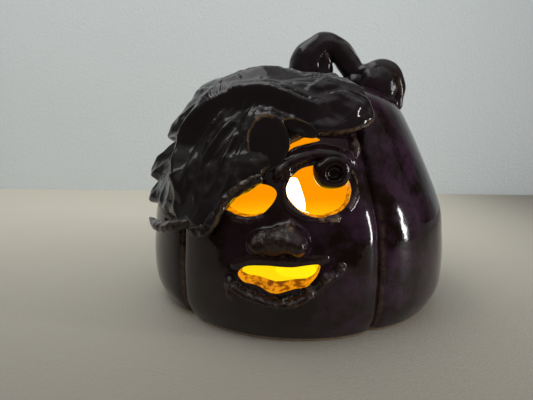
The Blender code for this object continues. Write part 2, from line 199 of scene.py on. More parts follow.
# rounded ridges on the skin: half width, height, how worn, rough, and azimuth and height points
RIDGES = (
    (0.0040, 0.0034, 0.02, 0.3,
     ((-7.0, 0.0905), (-4.4, 0.0960), (0.5, 0.0998), (6.5, 0.1020), (13.0, 0.1015), (19.0, 0.0985))),
    (0.0009, 0.0014, 1.00, 0.1,
     ((19.6, 0.0940), (21.2, 0.0890), (21.0, 0.0825), (19.2, 0.0775), (16.8, 0.0735))),
    (0.0017, 0.0020, 0.90, 0.6,
     ((6.4, 0.0703), (8.6, 0.0694), (11.2, 0.0690), (13.2, 0.0702))),
    (0.0016, 0.0012, 0.08, 0.2,
     ((-3.8, 0.0880), (-4.2, 0.0820), (-2.6, 0.0760), (1.5, 0.0715), (6.4, 0.0700))),
    (0.0032, 0.0046, 0.08, 1.0,
     ((-19.5, 0.0345), (-15.5, 0.0300), (-10.1, 0.0275), (-4.6, 0.0258), (0.3, 0.0272), (4.6, 0.0312))),
    (0.0024, 0.0022, 0.08, 1.0,
     ((4.6, 0.0312), (8.2, 0.0365), (11.4, 0.0412), (14.0, 0.0440))),
    (0.0026, 0.0012, 0.05, 0.3,
     ((-19.0, 0.0440), (-13.0, 0.0485), (-6.0, 0.0490), (2.0, 0.0488), (9.0, 0.0500))),
    (0.0014, 0.0008, 0.10, 0.4,
     ((-24.5, 0.0735), (-21.5, 0.0690), (-16.0, 0.0675), (-10.5, 0.0695))),
    (0.0018, -0.0016, 0.0, 0.2,
     ((6.0, 0.0445), (9.5, 0.0425), (13.5, 0.0425))),
    (0.0022, -0.0012, 0.0, 0.2,
     ((-24.0, 0.0560), (-18.0, 0.0600), (-15.0, 0.0660))),
)

# rounded lumps on the skin: azimuth, height, half width, half height, rise, how worn, rough
LUMPS = (
    (-6.6, 0.0580, 0.0150, 0.0078, 0.0062, 0.10, 1.0),
    (-2.6, 0.0600, 0.0115, 0.0082, 0.0078, 0.08, 0.5),
    (0.6, 0.0578, 0.0068, 0.0080, 0.0088, 0.02, 0.0),
    (-11.6, 0.0560, 0.0060, 0.0056, 0.0052, 0.10, 1.0),
    (-1.6, 0.0668, 0.0030, 0.0022, 0.0022, 0.80, 0.3),
    (-20.4, 0.0335, 0.0034, 0.0040, 0.0032, 0.20, 0.8),
    (-19.6, 0.0285, 0.0036, 0.0040, 0.0034, 0.20, 0.8),
    (-0.5, 0.0272, 0.0037, 0.0035, 0.0042, 0.25, 0.6),
    (4.3, 0.0326, 0.0032, 0.0036, 0.0036, 0.25, 0.6),
    (8.8, 0.0395, 0.0026, 0.0030, 0.0022, 0.30, 0.8),
    (13.6, 0.0446, 0.0028, 0.0026, 0.0018, 0.30, 0.6),
    (23.4, 0.1049, 0.0040, 0.0066, 0.0046, 0.30, 1.0),
    (20.4, 0.0985, 0.0056, 0.0050, 0.0034, 0.02, 0.0),
    (-4.0, 0.0925, 0.0040, 0.0046, 0.0024, 0.10, 0.2),
)


def crease_offset(azimuth, z):
    """Distance along the skin to the nearest crease between two ribs, and the rib's turn."""
    turn = (azimuth - CREASE_AZIMUTH) * RIBS / 360
    off = np.abs(turn - np.round(turn)) * 2 * pi / RIBS * skin_radius(np.minimum(z, CREASE_TOP))
    return off, turn


def rib_swell(azimuth, z):
    off, turn = crease_offset(azimuth, z)
    fade = 1 / (1 + np.exp((z - CREASE_TOP) / CREASE_FADE * 4))
    swell = RIB_SWELL * (np.abs(np.sin(pi * turn)) - 0.7) + 0.0004
    cut = CREASE_DEPTH * np.exp(-off / CREASE_WIDTH)
    roll = CREASE_ROLL * np.exp(-off / CREASE_ROLL_WIDTH)
    return fade * (swell - cut - roll)


def dome(gap):
    """Rounded rise from 1 at the middle to 0 at gap 1, with a soft foot."""
    inside = np.clip(1 - gap ** 2, 0, 1)
    return inside ** 0.75 * smoothstep(1.0, 0.78, gap)


def face_relief(azimuth, z):
    """Rise of the skin, how worn and how rough it is, at places of the face."""
    radius = skin_radius(z)
    rise = np.zeros(len(azimuth))
    worn = np.zeros(len(azimuth))
    rough = np.zeros(len(azimuth))
    front = np.abs(azimuth) < 40
    a, h, r = azimuth[front], z[front], radius[front]
    up, wear, grit = rise[front], worn[front], rough[front]
    places = np.stack([np.radians(a) * r, h], 1)
    for half, height, tan, rugged, line in RIDGES:
        points = smooth_path(line, 6)
        flat = np.stack([np.radians(points[:, 0]) * skin_radius(points[:, 1]), points[:, 1]], 1)
        gap, along = line_gap(places, flat)
        ends = smoothstep(0, 0.12, along) * smoothstep(1, 0.88, along)
        shape = dome(gap / (half * (0.55 + 0.45 * ends)))
        up = np.maximum(up, height * shape) if height > 0 else up + height * shape
        wear = np.maximum(wear, tan * smoothstep(0.35, 0.95, shape))
        grit = np.maximum(grit, rugged * shape)
    for azimuth0, height0, half_u, half_v, peak, tan, rugged in LUMPS:
        u = np.radians(a - azimuth0) * skin_radius(height0)
        gap = np.hypot(u / half_u, (h - height0) / half_v)
        shape = dome(gap)
        lump = peak * shape
        up = np.maximum(up, lump) + 0.25 * np.minimum(up, lump)
        wear = np.maximum(wear, tan * smoothstep(0.3, 0.9, shape))
        grit = np.maximum(grit, rugged * smoothstep(0.0, 0.4, shape))
    rise[front], worn[front], rough[front] = up, wear, grit
    return rise, worn, rough


# ---------------------------------------------------------------- meshes

def ring_mesh(name, rings):
    """A closed surface of rings from top to end, each counter-clockwise seen from above."""
    rows, columns = rings.shape[:2]
    verts = rings.reshape(-1, 3)
    index = np.arange(rows * columns).reshape(rows, columns)
    right = np.roll(index, -1, axis=1)
    quads = np.stack([index[:-1], index[1:], right[1:], right[:-1]], -1).reshape(-1, 4)
    faces = quads.tolist()
    verts = np.vstack([verts, rings[0].mean(0), rings[-1].mean(0)])
    top, end = len(verts) - 2, len(verts) - 1
    faces += [(top, a, b) for a, b in zip(index[0], right[0])]
    faces += [(end, b, a) for a, b in zip(index[-1], right[-1])]
    mesh = bpy.data.meshes.new(name)
    mesh.from_pydata(verts.tolist(), [], [tuple(int(i) for i in f) for f in faces])
    mesh.update()
    return mesh


def add_object(name, mesh):
    obj = bpy.data.objects.new(name, mesh)
    bpy.context.scene.collection.objects.link(obj)
    return obj


def set_attribute(mesh, name, values):
    layer = mesh.attributes.new(name, "FLOAT", "POINT")
    layer.data.foreach_set("value", np.asarray(values, np.float32))


def face_outward(mesh):
    bm = bmesh.new()
    bm.from_mesh(mesh)
    bmesh.ops.recalc_face_normals(bm, faces=bm.faces)
    bm.to_mesh(mesh)
    bm.free()


def place_on_axis(obj):
    obj.data.transform(Matrix.Translation((AXIS_X, AXIS_Y, 0)))


def evaluated_mesh(obj):
    bpy.context.view_layer.update()
    depsgraph = bpy.context.evaluated_depsgraph_get()
    return bpy.data.meshes.new_from_object(obj.evaluated_get(depsgraph))


def shade(obj, angle=45):
    obj.data.shade_smooth()
    obj.data.set_sharp_from_angle(angle=radians(angle))


def finish_piece(obj, slot, *nodes):
    """Ride on the body and stand for CAD nodes, whose parts are hidden."""
    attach(obj, "root")
    if nodes:
        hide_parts(*nodes)


FACE_COLUMNS, BACK_COLUMNS = 260, 200
FACE_HALF_ANGLE = 52.0


def body_azimuths():
    """Columns round the body, close together over the face."""
    face = np.linspace(-FACE_HALF_ANGLE, FACE_HALF_ANGLE, FACE_COLUMNS, endpoint=False)
    back = np.linspace(FACE_HALF_ANGLE, 360 - FACE_HALF_ANGLE, BACK_COLUMNS, endpoint=False)
    return np.concatenate([face, back])


def skin_rows(step):
    """Radius and height down the skin at even steps, wider over the flat top."""
    path = smooth_path(SKIN, 40)
    length = np.concatenate([[0], np.cumsum(np.hypot(*np.diff(path, axis=0).T))])
    top = np.arange(0.004, 0.040, 0.003)
    side = np.arange(0.040, length[-1] - 0.0020, step)
    marks = np.concatenate([top, side])
    return np.stack([np.interp(marks, length, path[:, i]) for i in (0, 1)], 1)


def ringed(radius, z, azimuths, grow):
    """Rings about the axis, each point moved outward by a function of azimuth and height."""
    rows, columns = len(radius), len(azimuths)
    az = np.tile(azimuths, rows)
    height = np.repeat(z, columns)
    r = np.repeat(radius, columns) + grow(az, height) * np.repeat(np.minimum(radius / 0.04, 1), columns)
    a = np.radians(az)
    points = np.stack([r * np.sin(a), -r * np.cos(a), height], 1)
    return points.reshape(rows, columns, 3)


def body_growth(az, z):
    wrapped = (az + 180) % 360 - 180
    rise, _, rough = face_relief(wrapped, z)
    r = skin_radius(z)
    a = np.radians(az)
    points = np.stack([r * np.sin(a), -r * np.cos(a), z], 1)
    wave = 0.00045 * clay_noise(points, 0.034, 3) + 0.00014 * clay_noise(points, 0.011, 5)
    grit = rough * (0.00055 * clay_noise(points, 0.0030, 7) + 0.0003 * clay_noise(points, 0.0015, 8))
    settle = smoothstep(0.002, 0.012, z)
    return rib_swell(az, z) + rise + (wave + grit) * settle


def body_mesh(name):
    """The pumpkin's closed outer form, with its flat foot."""
    rows = skin_rows(0.00115)
    foot = np.array([(0.0922, 0.0022), (0.0921, 0.0014), (0.0915, 0.0007), (0.0905, 0.0)])
    rows = np.vstack([rows, foot])
    azimuths = body_azimuths()
    rings = ringed(rows[:, 0], rows[:, 1], azimuths, body_growth)
    rings = np.concatenate([rings, rings[-1:] * np.array((0.6, 0.6, 1)),
                            rings[-1:] * np.array((0.2, 0.2, 1))])
    return ring_mesh(name, rings)


def hollow_mesh(name):
    """The inside of the lantern, as a closed form to cut away."""
    scale = 1 - WALL / 0.100
    tall = (HEIGHT - WALL - FLOOR) / HEIGHT
    rows = smooth_path(SKIN, 5)[1:]
    rings = ringed(rows[:, 0], rows[:, 1], np.arange(0, 360, 3.6), rib_swell)
    rings = rings * np.array((scale, scale, tall)) + np.array((0, 0, FLOOR))
    return ring_mesh(name, rings)


# ---------------------------------------------------------------- openings

RIGHT_EYE = (7.8, 0.0836, 0.0905, [(0.0164 * cos(t * pi / 8), 0.0124 * sin(t * pi / 8)) for t in range(16)])
LEFT_EYE = (-14.4, 0.0789, 0.0910, (
    (-0.0147, -0.0045), (-0.0095, -0.0078), (-0.0010, -0.0088), (0.0070, -0.0062),
    (0.0117, 0.0010), (0.0096, 0.0054), (0.0020, 0.0070), (-0.0070, 0.0062)))
MOUTH = (-4.6, 0.0392, 0.1000, (
    (-0.0212, 0.0010), (-0.0175, 0.0048), (-0.0070, 0.0060), (0.0060, 0.0058),
    (0.0175, 0.0074), (0.0194, 0.0045), (0.0144, -0.0028), (0.0061, -0.0052),
    (-0.0026, -0.0077), (-0.0115, -0.0040), (-0.0185, -0.0030)))
BROW_SLIT = (1.9, 0.1052, 0.0790, (
    (-0.0092, -0.0040), (-0.0045, -0.0004), (0.0012, 0.0012), (0.0090, 0.0032),
    (0.0050, 0.0048), (-0.0010, 0.0040), (-0.0060, 0.0012)))
CUT_DEPTH = 0.034
MOUTH_SILL = 0.55                    # how far the mouth's lower edge rises through the wall


def face_matrix(azimuth, z, radius):
    """Right along the skin, up, and outward, at a place of the face."""
    a = radians(azimuth)
    axes = Matrix(((cos(a), 0, sin(a)), (sin(a), 0, -cos(a)), (0, 1, 0))).to_4x4()
    return Matrix.Translation((radius * sin(a), -radius * cos(a), z)) @ axes


def opening_mesh(name, opening):
    """A prism through the wall whose sides flare a little outward."""
    azimuth, z, radius, outline = opening
    sill = MOUTH_SILL if opening is MOUTH else 0.0
    path = smooth_path(outline, 8, closed=True)
    wander = clay_noise(np.column_stack([path, np.zeros(len(path))]), 0.004, 11)[:, None]
    path = path * (1 + 0.025 * wander)
    rings = []
    for depth in np.linspace(CUT_DEPTH / 2, -CUT_DEPTH / 2, 15):
        flare = 1 + 0.05 * smoothstep(-0.002, 0.004, depth + WALL / 2)
        rise = 1 - sill * smoothstep(WALL / 2, -WALL / 2, depth) * (path[:, 1] < 0)
        across, up = path[:, 0] * flare, path[:, 1] * flare * rise
        rings.append(np.column_stack([across, up, np.full(len(path), depth)]))
    mesh = ring_mesh(name, np.array(rings))
    mesh.transform(face_matrix(azimuth, z, radius - WALL / 2))
    face_outward(mesh)
    return mesh


def cut_openings(body, hollow_finish, edge_finish):
    """Take the hollow and the face's openings out of the body."""
    hollow = add_object("hollow", hollow_mesh("hollow"))
    hollow.data.materials.append(hollow_finish)
    holes = [hollow]
    openings = {"right eye": RIGHT_EYE, "left eye": LEFT_EYE, "mouth": MOUTH, "brow slit": BROW_SLIT}
    for name, opening in openings.items():
        hole = add_object(name, opening_mesh(name, opening))
        hole.data.materials.append(edge_finish)
        holes.append(hole)
    for hole in holes:
        cut = body.modifiers.new(hole.name, "BOOLEAN")
        cut.operation = "DIFFERENCE"
        cut.solver = "EXACT"
        cut.material_mode = "TRANSFER"
        cut.object = hole
    body.data = evaluated_mesh(body)
    body.modifiers.clear()
    for hole in holes:
        bpy.data.objects.remove(hole, do_unlink=True)


# ---------------------------------------------------------------- leaf

LEAF_AZIMUTH, LEAF_ELEVATION = -30.0, 40.0
LEAF_MIDDLE = np.array((-2.0, -4.0))
LEAF_EDGE = (                        # direction and reach of the edge, right round
    (-90, 37.5), (-79, 32.6), (-66, 27.5), (-52, 25.5), (-32, 24.5), (-12, 25.0), (4, 28.5),
    (9, 37.0), (14, 45.5), (20, 50.0), (27, 50.5), (35, 46.5), (43, 44.5), (52, 44.0),
    (70, 47.0), (90, 50.0), (102, 41.0), (112, 42.0), (121, 36.5), (130, 38.5), (139, 37.0),
    (150, 35.5), (160, 37.0), (168, 39.5), (175, 39.5), (180, 35.0), (184, 30.0), (187, 32.0),
    (189, 38.0), (192, 43.0), (198, 45.0), (203, 43.0), (206, 41.0), (209, 45.5), (213, 47.0),
    (219, 43.5), (227, 40.5), (240, 36.5), (255, 36.0),
)
LEAF_CURL = (                        # direction and how far the edge stands off the skin there
    (-90, 0.0), (6, 0.0), (14, 0.0040), (24, 0.0060), (36, 0.0050), (52, 0.0010), (70, 0.0), (112, 0.0020),
    (121, 0.0040), (130, 0.0070), (139, 0.0075), (150, 0.0055), (160, 0.0080), (168, 0.0100),
    (175, 0.0095), (180, 0.0060), (184, 0.0010), (187, 0.0040), (190, 0.0095), (195, 0.0105),
    (200, 0.0090), (204, 0.0040), (206, 0.0025), (209, 0.0050), (213, 0.0050), (217, 0.0020),
    (221, 0.0), (270, 0.0),
)
LEAF_LIFT, LEAF_ROOT = 0.0050, 0.0045
LEAF_FOLDS = (                       # height, half width in degrees, chart points
    (0.0060, 4.6, ((12, 22), (-2, 16), (-12, 3), (-18, -7), (-18.5, -17), (-15, -30))),
    (0.0040, 2.2, ((1, 8), (-5.6, 3), (-12.4, -2), (-15.7, -7), (-16.4, -14), (-15, -22), (-12, -30))),
    (0.0022, 1.6, ((-4, -1), (-9, -9), (-10.5, -18), (-9, -28))),
    (0.0018, 1.4, ((1, -3), (-3, -12), (-5, -22), (-4, -32))),
    (0.0014, 1.2, ((4, -6), (3, -16), (3, -27))),
    (0.0042, 2.8, ((1, 8), (10, 9.6), (19, 8), (26, 6.8), (31, 9))),
    (0.0040, 5.0, ((24, 18), (32, 14), (41, 12))),
    (-0.0034, 1.0, ((15, 10.6), (20, 9.8), (24.5, 9.0))),
    (-0.0022, 1.0, ((28, 13.5), (32.5, 17.5))),
    (-0.0028, 3.4, ((3, 4), (3.5, -6), (6, -15))),
    (-0.0024, 2.6, ((7, 4), (15, 4), (22, 3))),
)


def chart_axes():
    a, e = radians(LEAF_AZIMUTH), radians(LEAF_ELEVATION)
    middle = Vector((sin(a) * cos(e), -cos(a) * cos(e), sin(e)))
    right = Vector((cos(a), sin(a), 0))
    return np.array((middle, right, right.cross(-middle)))


CHART = chart_axes()


def on_chart(places, lift):
    """Points over the skin at places of the leaf's chart, in degrees."""
    angle = np.maximum(np.hypot(places[:, 0], places[:, 1]), 1e-9)[:, None]
    across = (CHART[1] * places[:, :1] + CHART[2] * places[:, 1:]) / angle
    ray = CHART[0] * np.cos(np.radians(angle)) + across * np.sin(np.radians(angle))
    reach = np.interp(np.degrees(np.arcsin(ray[:, 2])), FINE_RISE, FINE_REACH)
    return np.array((0, 0, CORE_HEIGHT)) + ray * (reach + lift)[:, None]


def fold_height(places):
    total = np.zeros(len(places))
    for height, width, line in LEAF_FOLDS:
        gap, along = line_gap(places, smooth_path(line, 5))
        ends = smoothstep(-0.15, 0.15, along) * smoothstep(1.1, 0.8, along)
        total += height * ends * np.exp(-(gap / width) ** 2)
    return total


FAN = np.array((8.0, 14.0))          # chart point that the leaf's fine wrinkles fan out from


def wrinkle_height(places):
    """Fine wrinkles that run along the leaf, away from the stalk."""
    off = places - FAN
    reach = np.hypot(off[:, 0], off[:, 1])
    turn = np.degrees(np.arctan2(off[:, 1], off[:, 0])) % 360
    flat = np.zeros(len(places))
    broad = clay_noise(np.stack([turn / 9.0, reach / 13.0, flat], 1), 1.0, 61)
    fine = clay_noise(np.stack([turn / 3.6, reach / 8.0, flat], 1), 1.0, 62)
    crisp = 1 - np.abs(clay_noise(np.stack([turn / 6.0, reach / 16.0, flat], 1), 1.0, 63))
    fade = smoothstep(3, 16, reach)
    return fade * (0.0008 * broad + 0.00035 * fine + 0.0009 * crisp ** 4)


LEAF_ROUND = smooth_path(LEAF_EDGE + ((LEAF_EDGE[0][0] + 360, LEAF_EDGE[0][1]),), 8)


def leaf_reach(direction):
    wrapped = (direction - LEAF_EDGE[0][0]) % 360 + LEAF_EDGE[0][0]
    ripple = 0.35 * np.sin(np.radians(wrapped * 23)) + 0.25 * np.sin(np.radians(wrapped * 37 + 40))
    return np.interp(wrapped, LEAF_ROUND[:, 0], LEAF_ROUND[:, 1]) + ripple


def leaf_curl(direction, out):
    """How far the lobes stand off the skin, more towards their edge."""
    wrapped = (direction + 90) % 360 - 90
    height = np.interp(wrapped, *np.transpose(LEAF_CURL))
    return height * np.maximum(0.0, (out - 0.72) / 0.28) ** 1.25


LEAF_COLUMNS, LEAF_ROWS = 420, 130


def leaf_mesh(name):
    """A plump sheet over the skin: upper face from the middle out, rim, lower face back."""
    direction = np.linspace(0, 360, LEAF_COLUMNS, endpoint=False)
    turn = np.linspace(0.02, 1.98, LEAF_ROWS)
    side = np.where(turn <= 1, 1.0, -1.0)
    out = 1 - np.abs(1 - turn)
    out = 1 - (1 - out) ** 1.35
    rings, rim = [], []
    for fraction, face in zip(out, side):
        reach = leaf_reach(direction) * fraction
        angle = np.radians(direction)
        places = LEAF_MIDDLE + np.stack([reach * np.cos(angle), reach * np.sin(angle)], 1)
        base = on_chart(places, np.zeros(len(places)))
        lump = 0.0005 * clay_noise(base, 0.009, 21) + 0.0003 * clay_noise(base, 0.0035, 22)
        top = LEAF_LIFT + fold_height(places) + wrinkle_height(places) + lump
        bead = 0.0008 * np.exp(-((1 - fraction) / 0.035) ** 2)
        plump = max(1 - fraction ** 14, 0.0) ** 0.5
        middle = (top - LEAF_ROOT) / 2
        lift = middle + face * plump * ((top + LEAF_ROOT) / 2 + bead) + leaf_curl(direction, fraction)
        rings.append(on_chart(places, lift))
        rim.append(np.full(LEAF_COLUMNS, smoothstep(0.975, 0.999, fraction) if face > 0 else 0.5))
    mesh = ring_mesh(name, np.array(rings))
    worn = np.concatenate([np.concatenate(rim), [0.0, 0.0]])
    set_attribute(mesh, "worn", worn)
    set_attribute(mesh, "rough", np.full(len(worn), 0.06))
    return mesh


FLAPS = (                            # chart centre, half sizes and lift of the lobes over the brow
    (17.3, -10.0, 6.8, 8.0, 0.0062), (25.5, -1.9, 6.0, 1.9, 0.0066),
)
FLAP_THICK, FLAP_RIM, FLAP_LEAN, FLAP_DISH = 0.0032, 0.0018, 0.0062, 0.0012


def flap_mesh(name, middle_p, middle_q, half_p, half_q, lift_off):
    """The lobe over the brow: a dished face with a thin raised rim."""
    direction = np.linspace(0, 360, 160, endpoint=False)
    turn = np.linspace(0.03, 1.97, 60)
    rings, rim = [], []
    for t in turn:
        face = 1.0 if t <= 1 else -1.0
        out = 1 - abs(1 - t)
        angle = np.radians(direction)
        wobble = 1 + 0.035 * np.sin(3 * angle + 0.6) + 0.02 * np.sin(7 * angle)
        places = np.stack([middle_p + half_p * out * wobble * np.cos(angle),
                           middle_q + half_q * out * wobble * np.sin(angle)], 1)
        open_side = smoothstep(-0.2, 0.9, np.cos(angle - radians(140)))
        rise = FLAP_RIM * open_side * np.exp(-((1 - out) / 0.07) ** 2)
        plump = max(1 - out ** 6, 0.0) ** 0.5
        lean = FLAP_LEAN * half_q / 8 * np.sin(angle) * out
        dished = rise - FLAP_DISH * (1 - out) if face > 0 else 0
        lift = lift_off + lean + face * plump * FLAP_THICK * 0.5 + dished
        rings.append(on_chart(places, lift))
        rim.append(open_side * (1.6 * smoothstep(0.89, 0.96, out) if face > 0 else 0.8))
    mesh = ring_mesh(name, np.array(rings))
    worn = np.concatenate([np.concatenate(rim), [0.0, 0.0]])
    set_attribute(mesh, "worn", worn)
    set_attribute(mesh, "rough", np.full(len(worn), 0.05))
    return mesh


# ---------------------------------------------------------------- strands of clay

ROLL = ((-3.0, -40.5), (2.0, -39.0), (5.4, -33.5), (8.0, -28.5), (12.0, -25.0), (16.8, -21.2))
ROLL_LIFT, ROLL_RADIUS = 0.0045, 0.0035

TIP = (
    (-0.0570, -0.0800, 0.0640, 0.0030), (-0.0670, -0.0760, 0.0605, 0.0054),
    (-0.0770, -0.0690, 0.0575, 0.0046), (-0.0860, -0.0590, 0.0568, 0.0032),
    (-0.0925, -0.0490, 0.0580, 0.0012),
)

STEM = (
    (0.0020, 0.002, 0.1390, 0.0135), (0.0050, 0.001, 0.1530, 0.0125), (0.0085, 0.000, 0.1620, 0.0112),
    (0.0175, 0.000, 0.1684, 0.0095), (0.0270, -0.001, 0.1658, 0.0082), (0.0340, -0.003, 0.1575, 0.0076),
    (0.0400, -0.005, 0.1495, 0.0075), (0.0470, -0.008, 0.1490, 0.0075), (0.0560, -0.010, 0.1510, 0.0078),
    (0.0622, -0.011, 0.1455, 0.0074), (0.0636, -0.012, 0.1370, 0.0068), (0.0640, -0.013, 0.1290, 0.0050),
)
STEM_ROOT = (
    (0.0150, -0.004, 0.1380, 0.0080), (0.0165, -0.003, 0.1480, 0.0072), (0.0175, -0.002, 0.1580, 0.0064),
    (0.0205, -0.001, 0.1650, 0.0055),
)
HEELS = (                            # lumps under the second curl: place and half sizes
    ((0.0525, -0.012, 0.1395), (0.0140, 0.0110, 0.0155)),
    ((0.0600, -0.012, 0.1290), (0.0075, 0.0080, 0.0070)),
    ((0.0400, -0.007, 0.1430), (0.0090, 0.0090, 0.0080)),
)


def path_frames(path):
    """Tangent, side and up at each point, turned as little as possible along the path."""
    tangent = np.gradient(path, axis=0)
    tangent /= np.linalg.norm(tangent, axis=1)[:, None]
    side = np.cross(tangent[0], (0.3, 1.0, 0.2))
    sides = []
    for t in tangent:
        side = side - t * (side @ t)
        side = side / np.linalg.norm(side)
        sides.append(side)
    sides = np.array(sides)
    return tangent, sides, np.cross(tangent, sides)


def strand_mesh(name, points, columns, steps, section):
    """A rolled strand of clay: points carry a radius, and section shapes it."""
    path = smooth_path(points, steps)
    centre, radius = path[:, :3], np.maximum(path[:, 3], 0.0004)
    tangent, side, up = path_frames(centre)
    angle = np.linspace(0, 2 * pi, columns, endpoint=False)
    rings, worn = [], []
    last = len(path) - 1
    for i in range(len(path)):
        scale, wear = section(i / last, angle)
        r = (radius[i] * scale)[:, None]
        rings.append(centre[i] + r * (np.cos(angle)[:, None] * side[i] + np.sin(angle)[:, None] * up[i]))
        worn.append(wear)
    for end, sign in ((0, -1), (last, 1)):
        cap, wears = [], []
        ring = rings[end if end == 0 else -1]
        for k in (1, 2, 3, 4):
            t = k / 5 * pi / 2
            middle = centre[end] + sign * tangent[end] * radius[end] * sin(t) * 0.9
            cap.append(middle + (ring - centre[end]) * cos(t))
            wears.append(worn[end if end == 0 else -1])
        if end == 0:
            rings, worn = cap[::-1] + rings, wears + worn
        else:
            rings, worn = rings + cap, worn + wears
    rings = np.array(rings)
    mesh = ring_mesh(name, rings)
    values = np.concatenate([np.concatenate(worn), [0.0, 0.0]])
    set_attribute(mesh, "worn", values)
    set_attribute(mesh, "rough", np.full(len(values), 0.3))
    face_outward(mesh)
    return mesh


def roughened(mesh, amount, cell, seed):
    """Push a mesh's points in and out by lumps of clay."""
    count = len(mesh.vertices)
    points = np.empty(count * 3, np.float32)
    normals = np.empty(count * 3, np.float32)
    mesh.vertices.foreach_get("co", points)
    mesh.vertex_normals.foreach_get("vector", normals)
    points, normals = points.reshape(-1, 3), normals.reshape(-1, 3)
    moved = points + normals * (amount * clay_noise(points, cell, seed))[:, None]
    mesh.vertices.foreach_set("co", moved.astype(np.float32).ravel())
    mesh.update()


def stem_section(along, angle):
    """The stalk's ridges: two long grooves that twist along it."""
    twist = angle * 1.0 + along * 5.0
    groove = 0.13 * np.exp(-((np.sin((twist - 0.4) / 2)) / 0.20) ** 2)
    second = 0.08 * np.exp(-((np.sin((twist - 2.6) / 2)) / 0.16) ** 2)
    ridge = 0.05 * np.exp(-((np.sin((twist + 0.5) / 2)) / 0.14) ** 2)
    wear = 0.30 * np.exp(-((np.sin((twist + 0.5) / 2)) / 0.10) ** 2)
    return 1 - groove - second + ridge, wear


def roll_section(along, angle):
    """The rolled leaf edge, notched like a rope and worn on its crown."""
    twist = 2 * angle + 5 * along
    ridges = 0.17 * np.cos(twist)
    notch = 0.06 * np.sin(along * 46 + np.cos(angle)) + 0.04 * np.sin(along * 23 + 2 * angle)
    ends = 0.75 + 0.25 * np.sin(pi * along) ** 0.5
    wear = 0.50 * smoothstep(0.6, 1.0, np.cos(twist))
    return ends * (1 + ridges + notch), wear


def tip_section(along, angle):
    flat = 1 - 0.35 * np.cos(angle) ** 2
    return flat, np.full(len(angle), 0.35) * (0.4 + 0.6 * along)


def plain_section(along, angle):
    return np.ones(len(angle)), np.zeros(len(angle))


def heel_rings(middle, size):
    """A rounded lump with the given middle and half sizes."""
    rings = []
    angle = np.linspace(0, 2 * pi, 64, endpoint=False)
    for tilt in np.linspace(0.06, pi - 0.06, 40):
        rings.append(np.stack([middle[0] + size[0] * sin(tilt) * np.cos(angle),
                               middle[1] + size[1] * sin(tilt) * np.sin(angle),
                               np.full(len(angle), middle[2] + size[2] * cos(tilt))], 1))
    return np.array(rings)


# ---------------------------------------------------------------- eyeball

KNOB_AZIMUTH, KNOB_HEIGHT, KNOB_LIFT = 12.6, 0.0925, 0.0005
KNOB = (                             # radius and distance along its axis, from the dimple out
    (0.0003, 0.0018), (0.0026, 0.0020), (0.0038, 0.0032), (0.0050, 0.0048), (0.0070, 0.0046),
    (0.0090, 0.0032), (0.0100, 0.0004), (0.0094, -0.0032), (0.0070, -0.0058), (0.0003, -0.0068),
)


def knob_mesh(name):
    """The ball in the right eye, with a hollow for its pupil."""
    profile = smooth_path(KNOB, 6)
    angle = np.linspace(0, 2 * pi, 72, endpoint=False)
    rings = []
    for r, depth in profile:
        wide = 1.04 + 0.03 * np.sin(2 * angle + 0.5) + 0.02 * np.sin(5 * angle)
        rings.append(np.stack([r * wide * np.cos(angle), 0.88 * r * wide * np.sin(angle),
                               np.full(len(angle), depth)], 1))
    mesh = ring_mesh(name, np.array(rings))
    mesh.transform(face_matrix(KNOB_AZIMUTH, KNOB_HEIGHT, float(skin_radius(KNOB_HEIGHT)) + KNOB_LIFT))
    count = len(mesh.vertices)
    set_attribute(mesh, "worn", np.zeros(count))
    set_attribute(mesh, "rough", np.full(count, 0.3))
    return mesh


# ---------------------------------------------------------------- candle

CANDLE_COLUMNS = 96
CANDLE_SIDE = (                      # radius and height above the wax's foot, top to bottom
    (0.0004, 0.0425), (0.0040, 0.0427), (0.0064, 0.0436), (0.0080, 0.0448), (0.0094, 0.0446),
    (0.0102, 0.0430), (0.0108, 0.0380), (0.0118, 0.0260), (0.0130, 0.0120), (0.0146, 0.0030),
    (0.0153, 0.0008), (0.0146, 0.0000),
)
FLAME_SIDE = (                       # radius and height above the pool, tip to root
    (0.0003, 0.0285), (0.0026, 0.0276), (0.0042, 0.0250), (0.0060, 0.0200), (0.0077, 0.0150),
    (0.0090, 0.0090), (0.0086, 0.0040), (0.0046, 0.0008), (0.0004, 0.0000),
)
FLAME_SHIFT, FLAME_ROOT = -0.0026, 0.0425
WICK_ROOT, WICK_LENGTH, WICK_RADIUS = 0.0420, 0.0070, 0.0007


def candle_mesh(name):
    """A wax stub with runs down its side."""
    profile = smooth_path(CANDLE_SIDE, 8)
    angle = np.linspace(0, 2 * pi, CANDLE_COLUMNS, endpoint=False)
    rings = []
    for r, z in profile:
        on_side = smoothstep(0.0095, 0.0106, r)
        thick_runs = 0.0006 * np.maximum(0, np.sin(5 * angle + 0.8)) ** 3
        thin_runs = 0.0004 * np.maximum(0, np.sin(9 * angle + 2.0)) ** 4
        radius = r + on_side * (thick_runs + thin_runs - 0.0004)
        rings.append(np.stack([radius * np.cos(angle), radius * np.sin(angle), np.full(len(angle), z)], 1))
    mesh = ring_mesh(name, np.array(rings))
    mesh.transform(Matrix.Translation((0, 0, WAX_FOOT)))
    return mesh


def flame_mesh(name):
    profile = smooth_path(FLAME_SIDE, 8)
    angle = np.linspace(0, 2 * pi, 48, endpoint=False)
    rings = [np.stack([r * np.cos(angle), r * np.sin(angle), np.full(len(angle), z)], 1) for r, z in profile]
    mesh = ring_mesh(name, np.array(rings))
    mesh.transform(Matrix.Translation((FLAME_SHIFT, 0, WAX_FOOT + FLAME_ROOT)))
    return mesh


# ---------------------------------------------------------------- materials

def node(tree, kind, label, **values):
    item = tree.nodes.new(kind)
    item.label = label
    for key, value in values.items():
        setattr(item, key, value)
    return item


